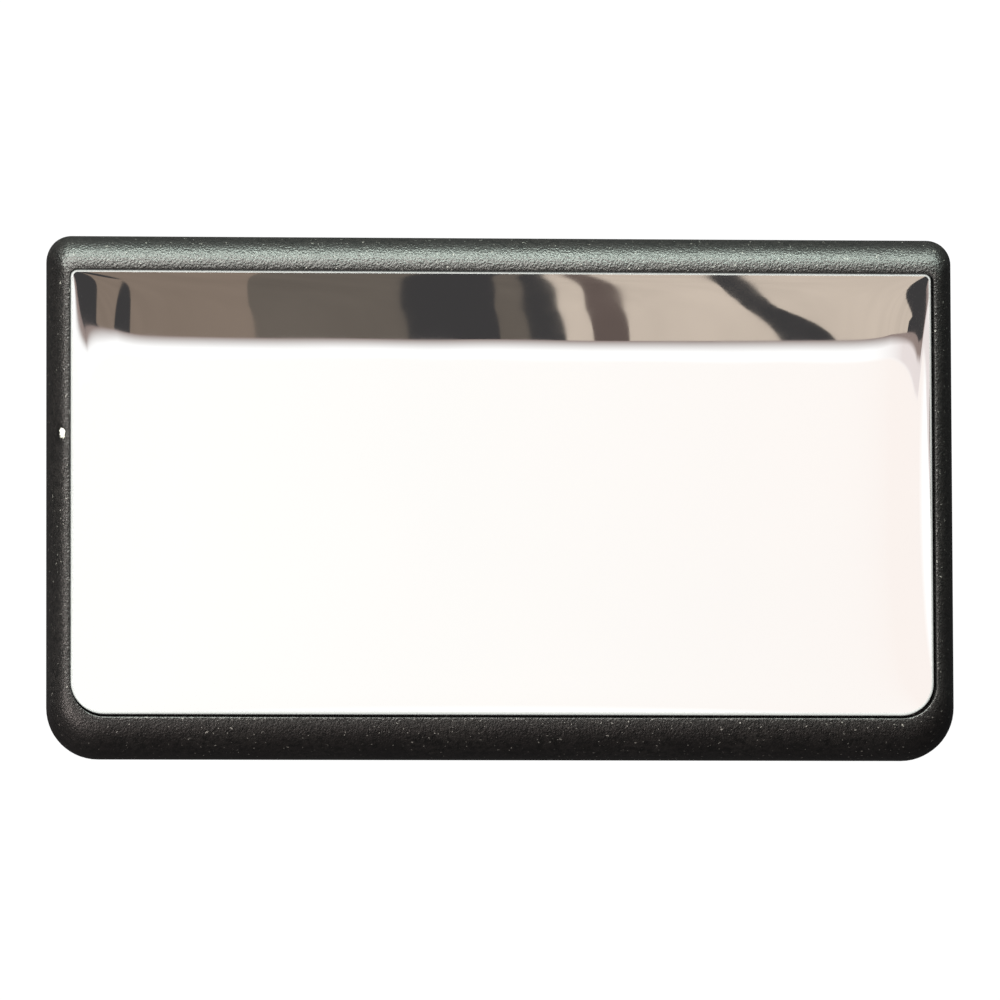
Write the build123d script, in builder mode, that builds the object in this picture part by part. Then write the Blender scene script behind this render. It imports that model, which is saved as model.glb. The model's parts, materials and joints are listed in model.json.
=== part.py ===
from build123d import *
import math

# Convex security mirror on a two-axis wall bracket, in millimetres.
# The origin is the centre of the wall plate's back face. +Z is up, the mirror faces -Y, and +X is to
# the right of someone who stands in front of it.

# ---- Driving dimensions: the head ----
FRAME_WIDTH = 406.0
FRAME_HEIGHT = 234.0
FRAME_DEPTH = 28.0
FRAME_SKIRT = 6.0  # straight wall behind the rolled band
FRAME_WALL = 2.5
FRAME_TOP_RADIUS = 11.0
FRAME_BOTTOM_RADIUS = 23.0
ROLL_STEPS = 8  # sections in the loft of the rolled band

LENS_WIDTH = 385.0
LENS_HEIGHT = 198.0
LENS_TOP_RADIUS = 3.0
LENS_BOTTOM_RADIUS = 14.5
LENS_THICKNESS = 3.0
LENS_CROWN = 9.0  # height of the dome over its own edge
LENS_FALL_X = 0.3  # share of the crown that the shallow cap loses by the ends
LENS_FALL_Z = 0.4
LENS_ROLL_X = 20  # powers of the rim's roll down to the edge: more makes it narrower
LENS_ROLL_Z = 14
LENS_GAP = 0.8  # all round, between lens and frame
LENS_SINK = 0.5  # lens edge below the frame's lip
LENS_RIM_RADIUS = 1.0  # polished round on the lens's front rim
LIP_RADIUS = 0.6  # round on the frame's front lip

TAPE_THICKNESS = 1.0
TAPE_WIDTH = 6.0
LEDGE_WIDTH = 7.0
LEDGE_THICKNESS = 2.5
REBATE_WALL = 2.0

COVER_THICKNESS = 2.5
COVER_CLEARANCE = 0.4
COVER_RIM_DEPTH = 5.0
COVER_RIM_WALL = 2.0
COVER_EDGE = 0.8
GROOVE_LENGTH = 112.0
GROOVE_WIDTH = 6.0
GROOVE_DEPTH = 1.0
GROOVE_PITCH = 30.0
GROOVE_COUNT = 5
GROOVE_OFFSET = 116.0  # from the centre line to the middle of each column of grooves

BOSS_RADIUS = 4.5
BOSS_HOLE_RADIUS = 1.8
BOSS_HOLE_DEPTH = 12.0
BOSS_ROW_HEIGHT = 106.0  # upper and lower rows, from the centre line
BOSS_ROW_SPACING = 140.0
BOSS_SIDE = 193.0

# ---- Driving dimensions: the bracket ----
PAN_AXIS = 34.0  # from the wall to the vertical pivot
TILT_AXIS = 74.0  # from the wall to the horizontal pivot
HEAD_BACK = 96.0  # from the wall to the back of the rear cover

SHEET = 2.5  # bent and flat steel of the bracket
BEND_RADIUS = 2.0
SHEET_EDGE = 0.4  # round that deburring leaves on a sheet's edges
EAR_GAP = 14.6  # half of the space between two ears
EAR_RADIUS = 12.0
EAR_OUTSIDE = EAR_GAP + SHEET

WALL_PLATE_WIDTH = 90.0
WALL_PLATE_HEIGHT = 64.0
WALL_PLATE_THICKNESS = 3.0
WALL_PLATE_RADIUS = 8.0
WALL_HOLE_SPACING_X = 70.0
WALL_HOLE_SPACING_Z = 44.0
WALL_HOLE_RADIUS = 3.25

HEAD_PLATE_WIDTH = 80.0
HEAD_PLATE_HEIGHT = 56.0
HEAD_PLATE_RADIUS = 6.0
HEAD_HOLE_SPACING_X = 60.0
HEAD_HOLE_SPACING_Z = 36.0
HEAD_HOLE_RADIUS = 2.75

BACKING_WIDTH = 112.0
BACKING_HEIGHT = 78.0
BACKING_THICKNESS = 1.5
BACKING_RADIUS = 6.0

LUG_RADIUS = 11.0
LUG_HALF = 13.0
NECK_SIZE = 18.0
NECK_FILLET = 2.5
LUG_FILLET = 1.0

# ---- Driving dimensions: fasteners ----
PIVOT_RADIUS = 3.0  # M6 pivot bolts
PIVOT_BORE = 3.05
SQUARE_NECK = 6.0
SQUARE_NECK_LENGTH = 2.4
SQUARE_HOLE = 6.1
BOLT_HEAD_RADIUS = 7.5
BOLT_HEAD_HEIGHT = 3.5
BOLT_HEAD_FILLET = 3.2
BOLT_LENGTH = 48.0
THREAD_LENGTH = 15.0
THREAD_PITCH = 1.0
THREAD_DEPTH = 0.5

FRICTION_INNER = 3.3
FRICTION_OUTER = 10.5
FRICTION_THICKNESS = 1.5
FRICTION_GAP = 0.05  # on each face of a friction washer

FLAT_WASHER_OUTER = 6.5
FLAT_WASHER_THICKNESS = 1.6
SPRING_WASHER_OUTER = 5.6
SPRING_WASHER_THICKNESS = 1.6
WASHER_INNER = 3.2
WASHER_SPLIT = 1.0

NUT_HUB_RADIUS = 6.0
NUT_HUB_HEIGHT = 6.5
NUT_HUB_TAPER = 8.0
WING_THICKNESS = 2.4
WING_REACH = 14.0
WING_HEIGHT = 12.5
WING_EDGE = 0.6

SCREW_RADIUS = 2.5  # M5 bracket screws
SCREW_HEAD_RADIUS = 4.6
SCREW_HEAD_HEIGHT = 3.0
SCREW_LENGTH = 14.0
SCREW_TIP = 1.0
SCREW_WASHER_OUTER = 4.5
SCREW_WASHER_INNER = 2.6
SCREW_WASHER_THICKNESS = 1.2
HEX_ACROSS_FLATS = 8.0
HEX_HEIGHT = 4.0
HEX_BORE = 2.55

TAPPER_RADIUS = 1.75  # self-tapping cover screws
TAPPER_HEAD_RADIUS = 3.5
TAPPER_HEAD_HEIGHT = 2.2
TAPPER_LENGTH = 11.0
TAPPER_TIP = 2.0
COVER_HOLE_RADIUS = 2.0
COVER_BORE_RADIUS = 4.3
COVER_BORE_DEPTH = 1.2
CROSS_WIDTH = 0.9
CROSS_SPAN = 3.6
CROSS_DEPTH = 1.2

# ---- Derived sizes ----
LIP_WIDTH = LENS_WIDTH + 2 * LENS_GAP
LIP_HEIGHT = LENS_HEIGHT + 2 * LENS_GAP
LIP_TOP_RADIUS = LENS_TOP_RADIUS + LENS_GAP
LIP_BOTTOM_RADIUS = LENS_BOTTOM_RADIUS + LENS_GAP
LENS_EDGE = FRAME_DEPTH - LENS_SINK
LENS_BACK = LENS_EDGE - LENS_THICKNESS
LEDGE_FRONT = LENS_BACK - TAPE_THICKNESS
LEDGE_BACK = LEDGE_FRONT - LEDGE_THICKNESS
HEAD_PLATE_BACK = HEAD_BACK - SHEET
LUG_RIM_LENGTH = 2 * math.pi * LUG_RADIUS * 0.95
NUT_SEAT = EAR_OUTSIDE + FLAT_WASHER_THICKNESS + SPRING_WASHER_THICKNESS

HEAD_HOLES = [(x * HEAD_HOLE_SPACING_X / 2, z * HEAD_HOLE_SPACING_Z / 2) for x in (-1, 1) for z in (-1, 1)]
BOSS_PLACES = [(x * BOSS_ROW_SPACING, z * BOSS_ROW_HEIGHT) for x in (-1, 0, 1) for z in (-1, 1)]
BOSS_PLACES += [(-BOSS_SIDE, 0), (BOSS_SIDE, 0)]


# ---- Shared shapes ----
def head_plane(depth):
    """Plane that faces the viewer, a depth in front of the back of the head."""
    return Plane.XZ.offset(HEAD_BACK + depth)


def outline(depth, width, height, top_radius, bottom_radius):
    """Rectangle on a head plane, with one radius for its upper corners and one for its lower."""
    with BuildSketch(head_plane(depth)) as shape:
        Rectangle(width, height)
        fillet(shape.vertices().group_by(Axis.Y)[-1], radius=top_radius)
        fillet(shape.vertices().group_by(Axis.Y)[0], radius=bottom_radius)
    return shape.sketch


def back_outline(depth, inset):
    """The frame's outer outline, drawn in all round."""
    return outline(
        depth,
        FRAME_WIDTH - 2 * inset,
        FRAME_HEIGHT - 2 * inset,
        FRAME_TOP_RADIUS - inset,
        FRAME_BOTTOM_RADIUS - inset,
    )


def lens_outline(depth, grow):
    """The lens's outline, grown outwards all round."""
    return outline(
        depth,
        LENS_WIDTH + 2 * grow,
        LENS_HEIGHT + 2 * grow,
        max(LENS_TOP_RADIUS + grow, 1.0),
        max(LENS_BOTTOM_RADIUS + grow, 1.0),
    )


def band_outline(angle, wall):
    """Outline of the frame's band at an angle round its quarter ellipse, a wall inside its skin."""
    inset = 1 - math.cos(angle)
    depth = FRAME_SKIRT + (FRAME_DEPTH - FRAME_SKIRT - wall) * math.sin(angle)
    width = FRAME_WIDTH - (FRAME_WIDTH - LIP_WIDTH) * inset - 2 * wall
    height = FRAME_HEIGHT - (FRAME_HEIGHT - LIP_HEIGHT) * inset - 2 * wall
    top = FRAME_TOP_RADIUS - (FRAME_TOP_RADIUS - LIP_TOP_RADIUS) * inset - wall
    bottom = FRAME_BOTTOM_RADIUS - (FRAME_BOTTOM_RADIUS - LIP_BOTTOM_RADIUS) * inset - wall
    return outline(depth, width, height, max(top, 1.0), bottom)


def band_sections(wall):
    """Sections of the band from its skirt to its lip."""
    return [band_outline(math.radians(90 * step / ROLL_STEPS), wall) for step in range(ROLL_STEPS + 1)]


def dome_height(x, z):
    """Height of the lens's dome over its edge: a shallow cap, rolled down to nothing round its rim."""
    across = abs(2 * x / LENS_WIDTH)
    upward = abs(2 * z / LENS_HEIGHT)
    cap = LENS_CROWN * (1 - LENS_FALL_X * across**2 - LENS_FALL_Z * upward**2)
    return cap * (1 - across**LENS_ROLL_X) * (1 - upward**LENS_ROLL_Z)


def closing_steps(half, count):
    """Places from -half to half that lie closer together towards both ends."""
    return [half * math.sin(math.pi * (step / count - 0.5)) for step in range(count + 1)]


def dome_face(columns, rows, margin):
    """The lens's front surface, reaching a margin past its outline."""
    points = []
    for z in closing_steps(LENS_HEIGHT / 2 + margin, rows):
        line = []
        for x in closing_steps(LENS_WIDTH / 2 + margin, columns):
            line.append(Vector(x, -(HEAD_BACK + LENS_EDGE + dome_height(x, z)), z))
        points.append(line)
    return Face.make_surface_from_array_of_points(points, tol=0.005)


def pan_head_screws(seat, spots, radius, length, tip, head_radius, head_height):
    """Cross-recessed pan-head screws; seat is under their heads and faces along the shanks."""
    with BuildPart() as screws:
        with BuildSketch(seat):
            with Locations(*spots):
                Circle(head_radius)
        extrude(amount=-head_height)
        rims = screws.edges().filter_by(GeomType.CIRCLE).group_by(Axis(seat.origin, seat.z_dir))[0]
        fillet(rims, radius=head_height * 0.6)
        with BuildSketch(seat):
            with Locations(*spots):
                Circle(radius)
        extrude(amount=length - tip)
        with BuildSketch(seat.offset(length - tip)):
            with Locations(*spots):
                Circle(radius)
        extrude(amount=tip, taper=30)
        with BuildSketch(seat.offset(-head_height)):
            with Locations(*spots):
                Rectangle(CROSS_SPAN, CROSS_WIDTH)
                Rectangle(CROSS_WIDTH, CROSS_SPAN)
        extrude(amount=CROSS_DEPTH, mode=Mode.SUBTRACT)
    return screws


def carriage_bolt(seat):
    """Round-headed bolt with a square neck; seat is under its head and faces along the shank."""
    with BuildPart() as bolt:
        with BuildSketch(seat):
            Circle(BOLT_HEAD_RADIUS)
        extrude(amount=-BOLT_HEAD_HEIGHT)
        top_rim = bolt.edges().filter_by(GeomType.CIRCLE).sort_by(Axis(seat.origin, seat.z_dir))[0]
        fillet(top_rim, radius=BOLT_HEAD_FILLET)
        with BuildSketch(seat):
            Rectangle(SQUARE_NECK, SQUARE_NECK)
        extrude(amount=SQUARE_NECK_LENGTH)
        with BuildSketch(Plane(origin=seat.origin, x_dir=seat.z_dir, z_dir=seat.x_dir)):
            with BuildLine():
                Polyline(*shank_profile(), close=True)
            make_face()
        revolve(axis=Axis(seat.origin, seat.z_dir))
    return bolt


def shank_profile():
    """Half section of a bolt's shank, plain and then threaded, as (along, out) points."""
    root = PIVOT_RADIUS - THREAD_DEPTH
    thread_start = BOLT_LENGTH - THREAD_LENGTH
    points = [(0, 0), (0, PIVOT_RADIUS), (thread_start, PIVOT_RADIUS)]
    for turn in range(int(THREAD_LENGTH / THREAD_PITCH)):
        along = thread_start + turn * THREAD_PITCH
        points.append((along + THREAD_PITCH / 2, root))
        points.append((along + THREAD_PITCH, PIVOT_RADIUS))
    points.append((BOLT_LENGTH, 0))
    return points


def flat_washer(seat):
    """Flat washer of a pivot bolt, standing on its seat."""
    with BuildPart() as washer:
        with BuildSketch(seat):
            Circle(FLAT_WASHER_OUTER)
            Circle(WASHER_INNER, mode=Mode.SUBTRACT)
        extrude(amount=FLAT_WASHER_THICKNESS)
    return washer


def split_ring(seat, spots, inner, outer, thickness):
    """Spring washers standing on their seat, each with a slit through one side."""
    with BuildPart() as washer:
        with BuildSketch(seat):
            with Locations(*spots):
                Circle(outer)
                Circle(inner, mode=Mode.SUBTRACT)
            for spot in spots:
                with Locations((spot[0] + (inner + outer) / 2, spot[1])):
                    Rectangle(2 * (outer - inner), WASHER_SPLIT, mode=Mode.SUBTRACT)
        extrude(amount=thickness)
    return washer


def clevis(seat, reach):
    """U of bent sheet: its web lies on the seat, and its ears hold a pivot, a reach above the seat.

    The seat's x direction runs across the ears, from the one with the square hole for a carriage
    bolt's neck to the one with a round hole.
    """
    profile = Plane(origin=seat.origin, x_dir=seat.x_dir, z_dir=-seat.y_dir)
    side = Plane(origin=seat.origin, x_dir=seat.z_dir, z_dir=seat.x_dir)
    with BuildPart() as channel:
        with BuildSketch(profile) as section:
            Rectangle(2 * EAR_OUTSIDE, reach + EAR_RADIUS, align=(Align.CENTER, Align.MIN))
            fillet(section.vertices().group_by(Axis.Y)[0], radius=BEND_RADIUS + SHEET)
            with Locations((0, SHEET + (reach + EAR_RADIUS) / 2)):
                Rectangle(2 * EAR_GAP, reach + EAR_RADIUS, mode=Mode.SUBTRACT)
            inside_corners = section.vertices().filter_by_position(Axis.Y, SHEET - 0.1, SHEET + 0.1)
            fillet(inside_corners, radius=BEND_RADIUS)
        extrude(amount=EAR_RADIUS, both=True)
        with BuildSketch(side.offset(-EAR_OUTSIDE)):
            Rectangle(reach, 2 * EAR_RADIUS, align=(Align.MIN, Align.CENTER))
            with Locations((reach, 0)):
                Circle(EAR_RADIUS)
        extrude(amount=2 * EAR_OUTSIDE, mode=Mode.INTERSECT)
        ear_faces = channel.faces().filter_by(GeomType.PLANE).filter_by(Axis(seat.origin, seat.x_dir))
        fillet(ear_faces.edges().filter_by(GeomType.CIRCLE), radius=SHEET_EDGE)
        with BuildSketch(side.offset(-EAR_OUTSIDE)):
            with Locations((reach, 0)):
                Rectangle(SQUARE_HOLE, SQUARE_HOLE)
        extrude(amount=SHEET, mode=Mode.SUBTRACT)
        with BuildSketch(side.offset(EAR_GAP)):
            with Locations((reach, 0)):
                Circle(WASHER_INNER)
        extrude(amount=SHEET, mode=Mode.SUBTRACT)
    return channel


def friction_pair(pivot):
    """Nylon washers on both sides of one of the knuckle's lugs; pivot is the plane halfway between."""
    with BuildPart() as washers:
        for side in (-1, 1):
            with BuildSketch(pivot.offset(side * (LUG_HALF + FRICTION_GAP + FRICTION_THICKNESS / 2))):
                Circle(FRICTION_OUTER)
                Circle(FRICTION_INNER, mode=Mode.SUBTRACT)
        extrude(amount=FRICTION_THICKNESS / 2, both=True)
    return washers


def wing_nut(seat):
    """Wing nut standing on its seat, its two wings along the seat's x direction."""
    with BuildPart() as nut:
        with BuildSketch(seat):
            Circle(NUT_HUB_RADIUS)
        extrude(amount=NUT_HUB_HEIGHT, taper=NUT_HUB_TAPER)
        with BuildSketch(Plane(origin=seat.origin, x_dir=seat.x_dir, z_dir=-seat.y_dir)) as wings:
            for side in (-1, 1):
                with BuildLine():
                    Polyline(
                        (side * NUT_HUB_RADIUS * 0.6, 1.0),
                        (side * NUT_HUB_RADIUS * 1.4, 2.6),
                        (side * WING_REACH, WING_HEIGHT * 0.62),
                        (side * WING_REACH, WING_HEIGHT),
                        (side * WING_REACH * 0.7, WING_HEIGHT),
                        (side * NUT_HUB_RADIUS, NUT_HUB_HEIGHT),
                        (side * NUT_HUB_RADIUS * 0.6, NUT_HUB_HEIGHT * 0.8),
                        close=True,
                    )
                make_face()
            fillet(wings.vertices().group_by(Axis.Y)[-1], radius=1.9)
        extrude(amount=WING_THICKNESS / 2, both=True)
        wing_faces = nut.faces().filter_by(GeomType.PLANE).filter_by(Axis(seat.origin, seat.y_dir))
        along_bolt = Axis(seat.origin, seat.z_dir)
        wing_tips = wing_faces.edges().filter_by_position(along_bolt, NUT_HUB_HEIGHT + 0.1, WING_HEIGHT)
        fillet(wing_tips, radius=WING_EDGE)
        with BuildSketch(seat):
            Circle(PIVOT_BORE)
        extrude(amount=WING_HEIGHT, mode=Mode.SUBTRACT)
    return nut


# ---- Head ----
# Acrylic lens: a dome of even thickness, cut to its outline.
lens_front = dome_face(columns=48, rows=32, margin=2.0)
with BuildPart() as mirror_lens:
    extrude(lens_front, amount=LENS_THICKNESS, dir=(0, 1, 0))
    extrude(lens_outline(0, 0), amount=2 * FRAME_DEPTH, mode=Mode.INTERSECT)
    front_face = mirror_lens.faces().sort_by(SortBy.AREA)[-2:].sort_by(Axis.Y)[0]
    fillet(front_face.edges(), radius=LENS_RIM_RADIUS)
mirror_lens.part.label = "mirror_lens"
export_step(mirror_lens.part, "parts/mirror_lens.step")

# Foam tape that holds the lens to the ledge.
with BuildPart() as lens_tape:
    extrude(lens_outline(LEDGE_FRONT, -0.5), amount=TAPE_THICKNESS)
    extrude(lens_outline(LEDGE_FRONT, -0.5 - TAPE_WIDTH), amount=TAPE_THICKNESS, mode=Mode.SUBTRACT)
lens_tape.part.label = "lens_tape"
export_step(lens_tape.part, "parts/lens_tape.step")

# Frame: a shell with a straight skirt and a rolled band, then the ledge, the rebate and the bosses.
with BuildPart() as front_frame:
    extrude(back_outline(0, 0), amount=FRAME_SKIRT)
    loft(band_sections(0))
    extrude(band_outline(0, FRAME_WALL), amount=-FRAME_SKIRT, mode=Mode.SUBTRACT)
    loft(band_sections(FRAME_WALL), mode=Mode.SUBTRACT)
    extrude(lens_outline(LEDGE_BACK, LENS_GAP + REBATE_WALL), amount=FRAME_DEPTH - LEDGE_BACK - 1.0)
    with BuildSketch(head_plane(COVER_THICKNESS)):
        with Locations(*BOSS_PLACES):
            Circle(BOSS_RADIUS)
    extrude(amount=LEDGE_BACK - COVER_THICKNESS)
    extrude(lens_outline(LEDGE_FRONT, LENS_GAP), amount=FRAME_DEPTH, mode=Mode.SUBTRACT)
    extrude(lens_outline(0, -LEDGE_WIDTH), amount=FRAME_DEPTH, mode=Mode.SUBTRACT)
    with BuildSketch(head_plane(COVER_THICKNESS)):
        with Locations(*BOSS_PLACES):
            Circle(BOSS_HOLE_RADIUS)
    extrude(amount=BOSS_HOLE_DEPTH, mode=Mode.SUBTRACT)
    lip_plane = -(HEAD_BACK + FRAME_DEPTH)
    lip_edges = front_frame.edges().filter_by_position(Axis.Y, lip_plane - 0.01, lip_plane + 0.01)
    fillet(lip_edges, radius=LIP_RADIUS)
front_frame.part.label = "front_frame"
export_step(front_frame.part, "parts/front_frame.step")

# Back shell: a plate with a locating rim inside the frame, and stiffening grooves across its back.
rim_inset = FRAME_WALL + COVER_CLEARANCE
with BuildPart() as rear_cover:
    extrude(back_outline(0, rim_inset), amount=COVER_THICKNESS + COVER_RIM_DEPTH)
    extrude(
        back_outline(COVER_THICKNESS, rim_inset + COVER_RIM_WALL),
        amount=COVER_RIM_DEPTH,
        mode=Mode.SUBTRACT,
    )
    fillet(rear_cover.faces().sort_by(Axis.Y)[-1].edges(), radius=COVER_EDGE)
    with BuildSketch(head_plane(0)):
        with Locations((-GROOVE_OFFSET, 0), (GROOVE_OFFSET, 0)):
            with GridLocations(GROOVE_LENGTH, GROOVE_PITCH, 1, GROOVE_COUNT):
                SlotOverall(GROOVE_LENGTH, GROOVE_WIDTH)
    extrude(amount=GROOVE_DEPTH, mode=Mode.SUBTRACT)
    with BuildSketch(head_plane(0)):
        with Locations(*BOSS_PLACES):
            Circle(COVER_BORE_RADIUS)
    extrude(amount=COVER_BORE_DEPTH, mode=Mode.SUBTRACT)
    with BuildSketch(head_plane(0)):
        with Locations(*BOSS_PLACES):
            Circle(COVER_HOLE_RADIUS)
        with GridLocations(HEAD_HOLE_SPACING_X, HEAD_HOLE_SPACING_Z, 2, 2):
            Circle(HEAD_HOLE_RADIUS)
    extrude(amount=COVER_THICKNESS, mode=Mode.SUBTRACT)
rear_cover.part.label = "rear_cover"
export_step(rear_cover.part, "parts/rear_cover.step")

# Self-tapping screws, from the cover's counterbores into the frame's bosses.
cover_screws = pan_head_screws(
    head_plane(COVER_BORE_DEPTH),
    BOSS_PLACES,
    radius=TAPPER_RADIUS,
    length=TAPPER_LENGTH,
    tip=TAPPER_TIP,
    head_radius=TAPPER_HEAD_RADIUS,
    head_height=TAPPER_HEAD_HEIGHT,
)
cover_screws.part.label = "cover_screws"
export_step(cover_screws.part, "parts/cover_screws.step")

# Steel plate inside the cover that spreads the bracket's load.
with BuildPart() as backing_plate:
    with BuildSketch(head_plane(COVER_THICKNESS)):
        RectangleRounded(BACKING_WIDTH, BACKING_HEIGHT, BACKING_RADIUS)
        with GridLocations(HEAD_HOLE_SPACING_X, HEAD_HOLE_SPACING_Z, 2, 2):
            Circle(HEAD_HOLE_RADIUS, mode=Mode.SUBTRACT)
    extrude(amount=BACKING_THICKNESS)
backing_plate.part.label = "backing_plate"
export_step(backing_plate.part, "parts/backing_plate.step")

# Hex nuts inside the head.
with BuildPart() as backing_nuts:
    with BuildSketch(head_plane(COVER_THICKNESS + BACKING_THICKNESS)):
        with GridLocations(HEAD_HOLE_SPACING_X, HEAD_HOLE_SPACING_Z, 2, 2):
            RegularPolygon(HEX_ACROSS_FLATS / 2, 6, major_radius=False)
            Circle(HEX_BORE, mode=Mode.SUBTRACT)
    extrude(amount=HEX_HEIGHT)
backing_nuts.part.label = "backing_nuts"
export_step(backing_nuts.part, "parts/backing_nuts.step")

# ---- Bracket: what is fixed to the head ----
with BuildPart() as head_plate:
    with BuildSketch(head_plane(-SHEET)):
        RectangleRounded(HEAD_PLATE_WIDTH, HEAD_PLATE_HEIGHT, HEAD_PLATE_RADIUS)
        with GridLocations(HEAD_HOLE_SPACING_X, HEAD_HOLE_SPACING_Z, 2, 2):
            Circle(HEAD_HOLE_RADIUS, mode=Mode.SUBTRACT)
    extrude(amount=SHEET)
    fillet(head_plate.faces().sort_by(Axis.Y)[-1].outer_wire().edges(), radius=SHEET_EDGE)
head_plate.part.label = "head_plate"
export_step(head_plate.part, "parts/head_plate.step")

bracket_lock_washers = split_ring(
    Plane.XZ.offset(HEAD_PLATE_BACK - SCREW_WASHER_THICKNESS),
    HEAD_HOLES,
    inner=SCREW_WASHER_INNER,
    outer=SCREW_WASHER_OUTER,
    thickness=SCREW_WASHER_THICKNESS,
)
bracket_lock_washers.part.label = "bracket_lock_washers"
export_step(bracket_lock_washers.part, "parts/bracket_lock_washers.step")

bracket_screws = pan_head_screws(
    Plane.XZ.offset(HEAD_PLATE_BACK - SCREW_WASHER_THICKNESS),
    HEAD_HOLES,
    radius=SCREW_RADIUS,
    length=SCREW_LENGTH,
    tip=SCREW_TIP,
    head_radius=SCREW_HEAD_RADIUS,
    head_height=SCREW_HEAD_HEIGHT,
)
bracket_screws.part.label = "bracket_screws"
export_step(bracket_screws.part, "parts/bracket_screws.step")

# ---- Bracket: the pivots ----
# The tilt pivot runs along +X from its bolt's head to its wing nut, and the pan pivot runs down.
tilt_pivot = Plane(origin=(0, -TILT_AXIS, 0), x_dir=(0, 0, 1), z_dir=(1, 0, 0))
pan_pivot = Plane(origin=(0, -PAN_AXIS, 0), x_dir=(1, 0, 0), z_dir=(0, 0, -1))

# Clevis on the head, welded to the head plate.
tilt_clevis = clevis(
    Plane(origin=(0, -HEAD_PLATE_BACK, 0), x_dir=(1, 0, 0), z_dir=(0, 1, 0)),
    reach=HEAD_PLATE_BACK - TILT_AXIS,
)
tilt_clevis.part.label = "tilt_clevis"
export_step(tilt_clevis.part, "parts/tilt_clevis.step")

# Clevis on the wall, welded to the wall plate.
pan_clevis = clevis(
    Plane(origin=(0, -WALL_PLATE_THICKNESS, 0), x_dir=(0, 0, -1), z_dir=(0, -1, 0)),
    reach=PAN_AXIS - WALL_PLATE_THICKNESS,
)
pan_clevis.part.label = "pan_clevis"
export_step(pan_clevis.part, "parts/pan_clevis.step")

# Die-cast knuckle: a lug for each pivot, at right angles, joined by a square neck.
with BuildPart() as knuckle:
    with Locations((0, -(PAN_AXIS + TILT_AXIS) / 2, 0)):
        Box(NECK_SIZE, TILT_AXIS - PAN_AXIS, NECK_SIZE)
    fillet(knuckle.edges().filter_by(Axis.Y), radius=NECK_FILLET)
    for pivot in (tilt_pivot, pan_pivot):
        with BuildSketch(pivot):
            Circle(LUG_RADIUS)
        extrude(amount=LUG_HALF, both=True)
    lug_rims = knuckle.edges().filter_by(GeomType.CIRCLE).filter_by(lambda rim: rim.length > LUG_RIM_LENGTH)
    fillet(lug_rims, radius=LUG_FILLET)
    for pivot in (tilt_pivot, pan_pivot):
        with BuildSketch(pivot):
            Circle(PIVOT_BORE)
        extrude(amount=LUG_HALF, both=True, mode=Mode.SUBTRACT)
knuckle.part.label = "knuckle"
export_step(knuckle.part, "parts/knuckle.step")

tilt_bolt = carriage_bolt(tilt_pivot.offset(-EAR_OUTSIDE))
tilt_bolt.part.label = "tilt_bolt"
export_step(tilt_bolt.part, "parts/tilt_bolt.step")

pan_bolt = carriage_bolt(pan_pivot.offset(-EAR_OUTSIDE))
pan_bolt.part.label = "pan_bolt"
export_step(pan_bolt.part, "parts/pan_bolt.step")

tilt_friction_washers = friction_pair(tilt_pivot)
tilt_friction_washers.part.label = "tilt_friction_washers"
export_step(tilt_friction_washers.part, "parts/tilt_friction_washers.step")

pan_friction_washers = friction_pair(pan_pivot)
pan_friction_washers.part.label = "pan_friction_washers"
export_step(pan_friction_washers.part, "parts/pan_friction_washers.step")

tilt_flat_washer = flat_washer(tilt_pivot.offset(EAR_OUTSIDE))
tilt_flat_washer.part.label = "tilt_flat_washer"
export_step(tilt_flat_washer.part, "parts/tilt_flat_washer.step")

pan_flat_washer = flat_washer(pan_pivot.offset(EAR_OUTSIDE))
pan_flat_washer.part.label = "pan_flat_washer"
export_step(pan_flat_washer.part, "parts/pan_flat_washer.step")

tilt_spring_washer = split_ring(
    tilt_pivot.offset(EAR_OUTSIDE + FLAT_WASHER_THICKNESS),
    [(0, 0)],
    inner=WASHER_INNER,
    outer=SPRING_WASHER_OUTER,
    thickness=SPRING_WASHER_THICKNESS,
)
tilt_spring_washer.part.label = "tilt_spring_washer"
export_step(tilt_spring_washer.part, "parts/tilt_spring_washer.step")

pan_spring_washer = split_ring(
    pan_pivot.offset(EAR_OUTSIDE + FLAT_WASHER_THICKNESS),
    [(0, 0)],
    inner=WASHER_INNER,
    outer=SPRING_WASHER_OUTER,
    thickness=SPRING_WASHER_THICKNESS,
)
pan_spring_washer.part.label = "pan_spring_washer"
export_step(pan_spring_washer.part, "parts/pan_spring_washer.step")

tilt_wing_nut = wing_nut(tilt_pivot.offset(NUT_SEAT))
tilt_wing_nut.part.label = "tilt_wing_nut"
export_step(tilt_wing_nut.part, "parts/tilt_wing_nut.step")

pan_wing_nut = wing_nut(pan_pivot.offset(NUT_SEAT))
pan_wing_nut.part.label = "pan_wing_nut"
export_step(pan_wing_nut.part, "parts/pan_wing_nut.step")

# ---- Bracket: what is fixed to the wall ----
with BuildPart() as wall_plate:
    with BuildSketch(Plane.XZ):
        RectangleRounded(WALL_PLATE_WIDTH, WALL_PLATE_HEIGHT, WALL_PLATE_RADIUS)
        with GridLocations(WALL_HOLE_SPACING_X, WALL_HOLE_SPACING_Z, 2, 2):
            Circle(WALL_HOLE_RADIUS, mode=Mode.SUBTRACT)
    extrude(amount=WALL_PLATE_THICKNESS)
    fillet(wall_plate.faces().sort_by(Axis.Y)[0].edges(), radius=SHEET_EDGE)
wall_plate.part.label = "wall_plate"
export_step(wall_plate.part, "parts/wall_plate.step")
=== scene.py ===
import json
import math

import bmesh
import bpy
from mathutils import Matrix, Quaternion, Vector


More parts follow.
